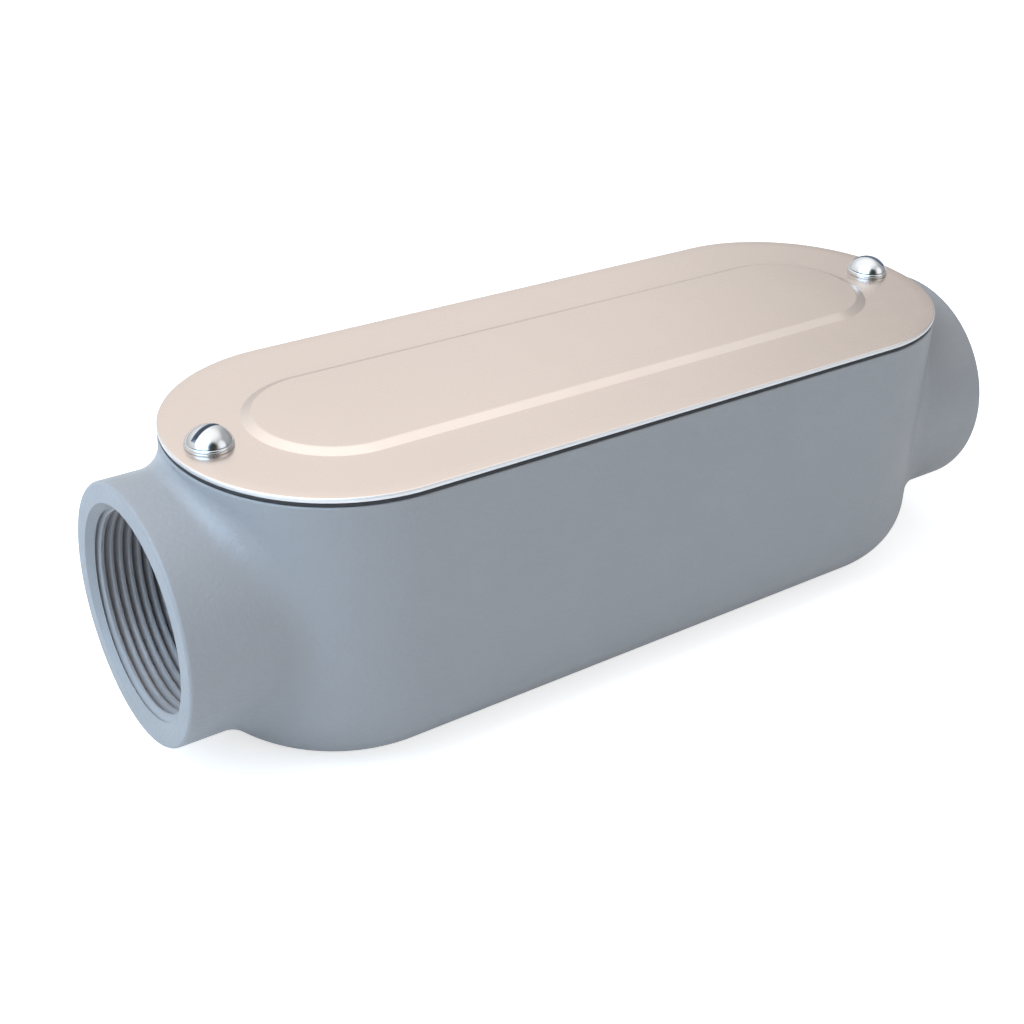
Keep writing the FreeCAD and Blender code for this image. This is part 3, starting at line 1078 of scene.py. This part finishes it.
@dataclass
class Gasket:
    """The rubber ring between rim and cover, squeezed out a little at its edge."""

    at: Datums
    width: float = 8.5 * MM
    inset: float = 0.05 * MM
    bulge: float = 0.3 * MM
    bulge_steps: int = 8
    eye_radius: float = 9.4 * MM
    hole_radius: float = 4.8 * MM
    crease: float = 40.0

    def build(self, material: bpy.types.Material) -> bpy.types.Object:
        """Make the gasket.

        Args:
            material: its rubber.

        Returns:
            The gasket.
        """
        low, high = self.at.rim_height, self.at.gasket_top
        outer = self.at.end_radius - self.inset
        half = (high - low) / 2
        profile = [(self.at.end_radius - self.width, low)]
        for share in np.linspace(-1, 1, self.bulge_steps + 1):
            profile.append((outer - self.bulge * share ** 2, low + half * (1 + share)))
        profile.append((self.at.end_radius - self.width, high))
        ring = Obround(self.at.centre_x).solid("gasket_ring", profile + profile[:1], capped=False)
        for end in End:
            foot = self.at.on_screw_axis(end, low)
            combined(ring, cylinder("eye", self.eye_radius, high - low, HOLE_STEPS, foot), "UNION")
        for end in End:
            foot = self.at.on_screw_axis(end, low - half)
            combined(ring, cylinder("hole", self.hole_radius, 4 * half, HOLE_STEPS, foot), "DIFFERENCE")
        weld(ring.data)
        finish_piece(ring, material, self.crease)
        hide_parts("gasket")
        return ring


@dataclass
class Cover:
    """The stamped cover: one sheet with a raised obround field and a rolled-over upper edge."""

    at: Datums
    emboss_margin: float = 26.4 * MM
    emboss_height: float = 1.5 * MM
    emboss_run: float = 4.2 * MM
    bend: float = 1.0 * MM
    edge_roll: float = 0.7 * MM
    burr_edge: float = 0.15 * MM
    hole_radius: float = 4.37 * MM
    middle_strip: float = 2.0 * MM
    crease: float = 40.0
    sheet: ClassVar[float] = 1.6 * MM

    def step_profile(self, upper: bool) -> list[Point2]:
        """One face of the step from the flange up to the raised field: bend, slope, bend.

        Args:
            upper: the upper face of the sheet, or the lower.

        Returns:
            Points from the foot of the step to its crest.
        """
        both = 2 * self.bend + self.sheet
        reach = math.hypot(self.emboss_run, both - self.emboss_height)
        lean = math.atan2(both - self.emboss_height, self.emboss_run)
        slope = math.degrees(math.asin(both / reach) - lean)
        foot = self.at.end_radius - self.emboss_margin
        crest = foot - self.emboss_run
        low = self.at.gasket_top + (self.sheet if upper else 0.0)
        foot_bend = self.bend if upper else self.bend + self.sheet
        crest_bend = self.bend + self.sheet if upper else self.bend
        rising = arc((foot, low + foot_bend), foot_bend, -90, -90 - slope, 6)
        landing = arc((crest, low + self.emboss_height - crest_bend), crest_bend, 90 - slope, 90, 6)
        return rising + landing

    def build(self, material: bpy.types.Material) -> bpy.types.Object:
        """Make the cover.

        Args:
            material: its sheet metal.

        Returns:
            The cover.
        """
        low, high = self.at.gasket_top, self.at.gasket_top + self.sheet
        edge, burr = self.at.end_radius, self.burr_edge
        top = self.step_profile(True)[::-1]
        under = self.step_profile(False)
        profile = [(self.middle_strip, top[0][1])] + top
        profile += [(r, high) for r in np.linspace(top[-1][0], edge - self.edge_roll, 6)[1:-1]]
        profile += arc((edge - self.edge_roll, high - self.edge_roll), self.edge_roll, 90, 0, 7)
        profile += arc((edge - burr, low + burr), burr, 0, -90, 3)
        profile += under + [(self.middle_strip, under[-1][1])]
        plate = Obround(self.at.centre_x).solid("cover", profile)
        for end in End:
            foot = self.at.on_screw_axis(end, low - self.sheet)
            hole = cylinder("cover_hole", self.hole_radius, 3 * self.sheet, HOLE_STEPS, foot)
            combined(plate, hole, "DIFFERENCE")
        weld(plate.data)
        finish_piece(plate, material, self.crease)
        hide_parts("cover_plate")
        return plate


# --- Screws --------------------------------------------------------------------------------------

@dataclass
class CoverScrews:
    """Two slotted round-head machine screws, one modelled and placed at both ends."""

    at: Datums
    head_radius: float = 7.55 * MM
    collar_radius: float = 7.95 * MM
    collar_height: float = 1.85 * MM
    collar_round: float = 1.15 * MM
    collar_foot: float = 0.3 * MM
    neck_height: float = 0.2 * MM
    shank_radius: float = 3.97 * MM
    shank_length: float = 12.7 * MM
    tip_chamfer: float = shank_radius / 5
    slot_width: float = 1.85 * MM
    slot_depth: float = 3.2 * MM
    slot_soft: float = 0.16 * MM
    soft_segments: int = 3
    soft_above: float = 40.0
    shade_side: float = 0.02 * MM
    shade_below: float = 0.35 * MM
    shade_depth: float = 1.01
    left_slot: float = 17.0
    right_slot: float = -62.0
    steps: int = 96
    crease: float = 35.0

    def head_of_height(self, height: float) -> bpy.types.Object:
        """One screw on the Z axis, its seat at Z = 0.

        Args:
            height: height of the head.

        Returns:
            The screw.
        """
        foot = self.collar_height + self.neck_height
        dome = height - foot
        round_radius = (self.head_radius ** 2 + dome ** 2) / (2 * dome)
        start = math.degrees(math.asin((round_radius - dome) / round_radius))
        tip = -self.shank_length
        profile = [(0, tip), (self.shank_radius - self.tip_chamfer, tip)]
        profile.append((self.shank_radius, tip + self.tip_chamfer))
        flat = self.collar_radius - self.collar_round
        seat = self.collar_radius - self.collar_foot
        profile += [(self.shank_radius, 0), (seat, 0)]
        profile += arc((seat, self.collar_foot), self.collar_foot, -90, 0, 4)[1:]
        profile += arc((flat, self.collar_height - self.collar_round), self.collar_round, 0, 90, 5)
        profile.append((flat, foot))
        profile += arc((0, height - round_radius), round_radius, start, 90, 22)
        screw = lathed("screw", profile, self.steps, (0.0, 0.0, 0.0))
        half = self.slot_width / 2
        low = (-2 * self.head_radius, -half, height - self.slot_depth)
        combined(screw, block("slot", low, (2 * self.head_radius, half, 2 * height)), "DIFFERENCE")
        soften = screw.modifiers.new("soften", "BEVEL")
        soften.width = self.slot_soft
        soften.segments = self.soft_segments
        soften.limit_method = "ANGLE"
        soften.angle_limit = math.radians(self.soft_above)
        baked(screw)
        # Painted shade: faces inside the slot, below the dome, take the plating's dark marked tone.
        centres = face_centres(screw.data)
        from_ball = np.linalg.norm(centres - [0.0, 0.0, height - round_radius], axis=1)
        in_slot = np.abs(centres[:, 1]) < half + self.shade_side
        recessed = in_slot & (from_ball < round_radius - self.shade_below)
        mark_faces(screw.data, recessed & (centres[:, 2] > height - self.shade_depth * self.slot_depth))
        return screw

    def tree(self, material: bpy.types.Material) -> GeometryTree:
        """Geometry Nodes that set the screw at both ends, each with its own slot angle.

        Args:
            material: the plating.

        Returns:
            The tree.
        """
        tree = GeometryTree("cover_screw_set")
        (screw,) = tree.inputs("Screw", kind="NodeSocketObject")
        spacing, seat, left, right = tree.inputs(
            "Half Spacing", "Seat Height", "Left Slot Angle", "Right Slot Angle"
        )
        line = tree.node("GeometryNodeMeshLine", {
            "Count": 2, "Start Location": tree.vector(X=tree.maths("MULTIPLY", spacing, -1.0), Z=seat),
            "Offset": tree.vector(X=tree.maths("MULTIPLY", spacing, 2.0)),
        })
        number = tree.node("GeometryNodeInputIndex").outputs[0]
        change = tree.maths("MULTIPLY", tree.maths("SUBTRACT", right, left), number)
        angle = tree.maths("RADIANS", tree.maths("ADD", left, change))
        shape = tree.node("GeometryNodeObjectInfo", {"Object": screw})
        placed = tree.node("GeometryNodeInstanceOnPoints", {
            "Points": line.outputs["Mesh"], "Instance": shape.outputs["Geometry"],
            "Rotation": tree.vector(Z=angle),
        })
        tree.finish(placed.outputs["Instances"], material)
        return tree

    def build(self, material: bpy.types.Material) -> bpy.types.Object:
        """Make both screws as one mesh.

        Args:
            material: the plating.

        Returns:
            The pair of screws.
        """
        screw = self.head_of_height(self.at.head_top - self.at.cover_top)
        mesh = self.tree(material).run("cover_screws", {
            "Screw": screw, "Half Spacing": self.at.screw_x, "Seat Height": self.at.cover_top,
            "Left Slot Angle": self.left_slot, "Right Slot Angle": self.right_slot,
        })
        bpy.data.objects.remove(screw)
        pair = tidy_object("cover_screws", mesh)
        finish_piece(pair, material, self.crease)
        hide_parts("left_cover_screw", "right_cover_screw")
        return pair


def finish_piece(piece: bpy.types.Object, material: bpy.types.Material, crease: float) -> None:
    """Give a piece its material and shading and let it ride on the body.

    Args:
        piece: the finished mesh object.
        material: its finish.
        crease: angle in degrees above which an edge stays sharp.
    """
    piece.data.materials.clear()
    piece.data.materials.append(material)
    piece.data.shade_smooth()
    piece.data.set_sharp_from_angle(angle=math.radians(crease))
    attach(piece, BODY)
    LOG.info("%s: %d faces", piece.name, len(piece.data.polygons))


# --- Studio --------------------------------------------------------------------------------------

@dataclass(frozen=True)
class Softbox:
    """A square area lamp that looks at the object."""

    name: str
    place: Point3
    size: float
    power: float
    colour: Colour = (1.0, 1.0, 1.0)
    target: Point3 = (0.0, 0.0, 0.05)

    def build(self) -> None:
        """Hang the lamp; gloss shows the surround's patches in its stead, which have no hard edge."""
        lamp = bpy.data.lights.new(self.name, "AREA")
        lamp.shape = "SQUARE"
        lamp.size = self.size
        lamp.energy = self.power
        lamp.color = self.colour
        holder = bpy.data.objects.new(self.name, lamp)
        look = Vector(self.target) - Vector(self.place)
        holder.location = self.place
        holder.rotation_euler = look.to_track_quat("-Z", "Y").to_euler()
        holder.visible_glossy = False
        bpy.context.scene.collection.objects.link(holder)


@dataclass(frozen=True)
class Patch:
    """A soft-edged round patch of the surround, as gloss and metal show it."""

    towards: Point3
    core: float
    edge: float
    level: float
    colour: Colour = (1.0, 1.0, 1.0)

    def mask(self, tree: Nodes, direction: bpy.types.NodeSocket) -> bpy.types.NodeSocket:
        """1 within the core angle, falling smoothly to 0 at the edge angle.

        Args:
            tree: nodes of the surround.
            direction: where the ray goes.

        Returns:
            The mask.
        """
        aim = tuple(Vector(self.towards).normalized())
        facing = tree.node("ShaderNodeVectorMath", {0: direction, 1: aim}, operation="DOT_PRODUCT")
        span = (math.cos(math.radians(self.edge)), math.cos(math.radians(self.core)))
        return tree.ranged(facing.outputs["Value"], span)


@dataclass(frozen=True)
class Studio:
    """Pale floor, soft lamps, a white surround and the camera."""

    azimuth: float = -36.1075
    elevation: float = 28.5958
    roll: float = 2.3516
    eye: Point3 = (-0.32437, -0.40892, 0.34139)
    lens: float = 55.82
    sensor: float = 36.0
    shift: Point2 = (-0.0055, -0.0446)
    nearest: float = 0.01
    floor_size: float = 12.0
    floor_drop: float = 0.2 * MM
    floor_tone: Colour = (0.76, 0.76, 0.76)
    floor_glow: float = 0.62
    floor_gloss_span: Point2 = (0.22, 0.36)
    floor_gloss_levels: Point2 = (0.08, 0.36)
    surround: Colour = (0.95, 0.975, 1.0)
    surround_strength: float = 0.60
    horizon_span: Point2 = (0.02, 0.42)
    horizon_levels: Point2 = (0.66, 0.985)
    far_side_span: Point2 = (0.55, 0.82)
    far_side_levels: Point2 = (1.0, 0.54)
    front_span: Point2 = (-0.60, 0.0)
    front_levels: Point2 = (0.76, 1.0)
    patches: tuple[Patch, ...] = (
        Patch((-0.10, 0.22, 1.0), 20.0, 56.0, 1.43, (1.0, 0.99, 0.97)),
        Patch((-0.50, -0.55, 0.70), 10.0, 36.0, 1.30, (0.96, 0.98, 1.0)),
        Patch((-0.64, -0.30, 0.74), 9.0, 38.0, 4.5, (0.55, 0.77, 1.0)),
        Patch((0.62, -0.62, 0.48), 8.0, 22.0, 1.30),
        Patch((-0.09, -0.80, 0.59), 12.0, 28.0, 0.05, (0.97, 1.0, 0.80)),
    )
    lamps: tuple[Softbox, ...] = (
        Softbox("overhead", (-0.55, 0.15, 0.95), 0.8, 7.0, (1.0, 0.95, 0.90)),
        Softbox("left_panel", (-1.35, 0.12, 1.02), 1.0, 18.3, (0.40, 0.69, 1.0)),
        Softbox("front_fill", (-0.10, -1.8, 0.9), 1.2, 8.2),
    )

    def camera(self) -> None:
        """Set up the camera."""
        azimuth, elevation, roll = map(math.radians, (self.azimuth, self.elevation, self.roll))
        back = Vector((
            math.sin(azimuth) * math.cos(elevation),
            -math.cos(azimuth) * math.cos(elevation),
            math.sin(elevation),
        ))
        right = (-back).cross(Vector((0, 0, 1))).normalized()
        up = back.cross(right)
        across = math.cos(roll) * right + math.sin(roll) * up
        above = -math.sin(roll) * right + math.cos(roll) * up
        turn = Matrix((across, above, back)).transposed().to_4x4()
        camera = bpy.data.cameras.new("camera")
        camera.lens = self.lens
        camera.sensor_width = self.sensor
        camera.shift_x, camera.shift_y = self.shift
        camera.clip_start = self.nearest
        holder = bpy.data.objects.new("camera", camera)
        holder.matrix_world = Matrix.Translation(self.eye) @ turn
        bpy.context.scene.collection.objects.link(holder)
        bpy.context.scene.camera = holder

    @staticmethod
    def ray_masks(tree: Nodes) -> tuple[bpy.types.NodeSocket, bpy.types.NodeSocket]:
        """Two masks: 1 for camera rays, and 1 for rays that gloss, metal or glass sends on."""
        path = tree.node("ShaderNodeLightPath").outputs
        sent_on = tree.maths("ADD", path["Is Glossy Ray"], path["Is Transmission Ray"], clamped=True)
        return path["Is Camera Ray"], sent_on

    def reflected(self, tree: Nodes) -> bpy.types.NodeSocket:
        """The surround as gloss and metal show it: a white room, dimmer low down and towards +X.

        Args:
            tree: nodes of the surround.

        Returns:
            The shader.
        """
        direction = tree.node("ShaderNodeTexCoord").outputs["Generated"]
        parts = tree.parts(direction)
        height = tree.ranged(parts["Z"], self.horizon_span, self.horizon_levels)
        side = tree.ranged(parts["X"], self.far_side_span, self.far_side_levels)
        front = tree.ranged(parts["Y"], self.front_span, self.front_levels)
        level = tree.maths("MULTIPLY", height, tree.maths("MULTIPLY", side, front))
        room = tree.glow(WHITE, level)
        for patch in self.patches:
            room = tree.either(patch.mask(tree, direction), room, tree.glow(patch.colour, patch.level))
        return room

    def backdrop(self) -> None:
        """White for the camera, the graded room for reflections, and a plain level of light."""
        world = bpy.data.worlds.new("surround")
        tree = Nodes.of(world)
        seen, sent_on = self.ray_masks(tree)
        light = tree.glow(self.surround, self.surround_strength)
        lit = tree.either(sent_on, light, self.reflected(tree))
        shown = tree.either(seen, lit, tree.glow(WHITE, 1.0))
        tree.node("ShaderNodeOutputWorld", {"Surface": shown})
        bpy.context.scene.world = world

    def floor_material(self) -> bpy.types.Material:
        """Matt paper that shows white to the camera, and a little of that in gloss."""
        material = bpy.data.materials.new("floor_paper")
        tree = Nodes.of(material)
        paper = tree.node("ShaderNodeBsdfDiffuse", {"Color": (*self.floor_tone, 1.0)}).outputs[0]
        seen, sent_on = self.ray_masks(tree)
        shown = tree.maths("MULTIPLY", seen, self.floor_glow)
        place = tree.node("ShaderNodeTexCoord").outputs["Object"]
        back = tree.parts(place)["Y"]
        behind = tree.ranged(back, self.floor_gloss_span, self.floor_gloss_levels)
        lift = tree.maths("MULTIPLY_ADD", sent_on, behind, shown)
        glow = tree.node("ShaderNodeEmission", {"Color": (*WHITE, 1.0), "Strength": lift}).outputs[0]
        both = tree.node("ShaderNodeAddShader", {0: paper, 1: glow}).outputs[0]
        tree.node("ShaderNodeOutputMaterial", {"Surface": both})
        return material

    def floor(self) -> None:
        """Lay the pale floor."""
        mesh = bpy.data.meshes.new("floor")
        half = self.floor_size / 2
        plan = ((-half, -half), (half, -half), (half, half), (-half, half))
        mesh.from_pydata([(x, y, -self.floor_drop) for x, y in plan], [], [(0, 1, 2, 3)])
        mesh.materials.append(self.floor_material())
        floor = bpy.data.objects.new("floor", mesh)
        bpy.context.scene.collection.objects.link(floor)

    def build(self) -> None:
        """Set up the camera, surround, floor and lamps."""
        self.camera()
        self.backdrop()
        self.floor()
        for lamp in self.lamps:
            lamp.build()
        bpy.context.scene.view_settings.view_transform = "Standard"


def main() -> None:
    """Build the studio and every piece, and report each."""
    logging.basicConfig(level=logging.INFO, format="%(name)s: %(message)s")
    Studio().build()
    datums = Datums.read()
    grain, edge = grain_group(), wear_and_sheen_group()
    Housing(datums).build(POWDER_COAT.build(grain, edge))
    Gasket(datums).build(GASKET_RUBBER.build(grain, edge))
    Cover(datums).build(SHEET_METAL.build(grain, edge))
    CoverScrews(datums).build(BRIGHT_PLATE.build(grain, edge))


if __name__ == "__main__":
    main()
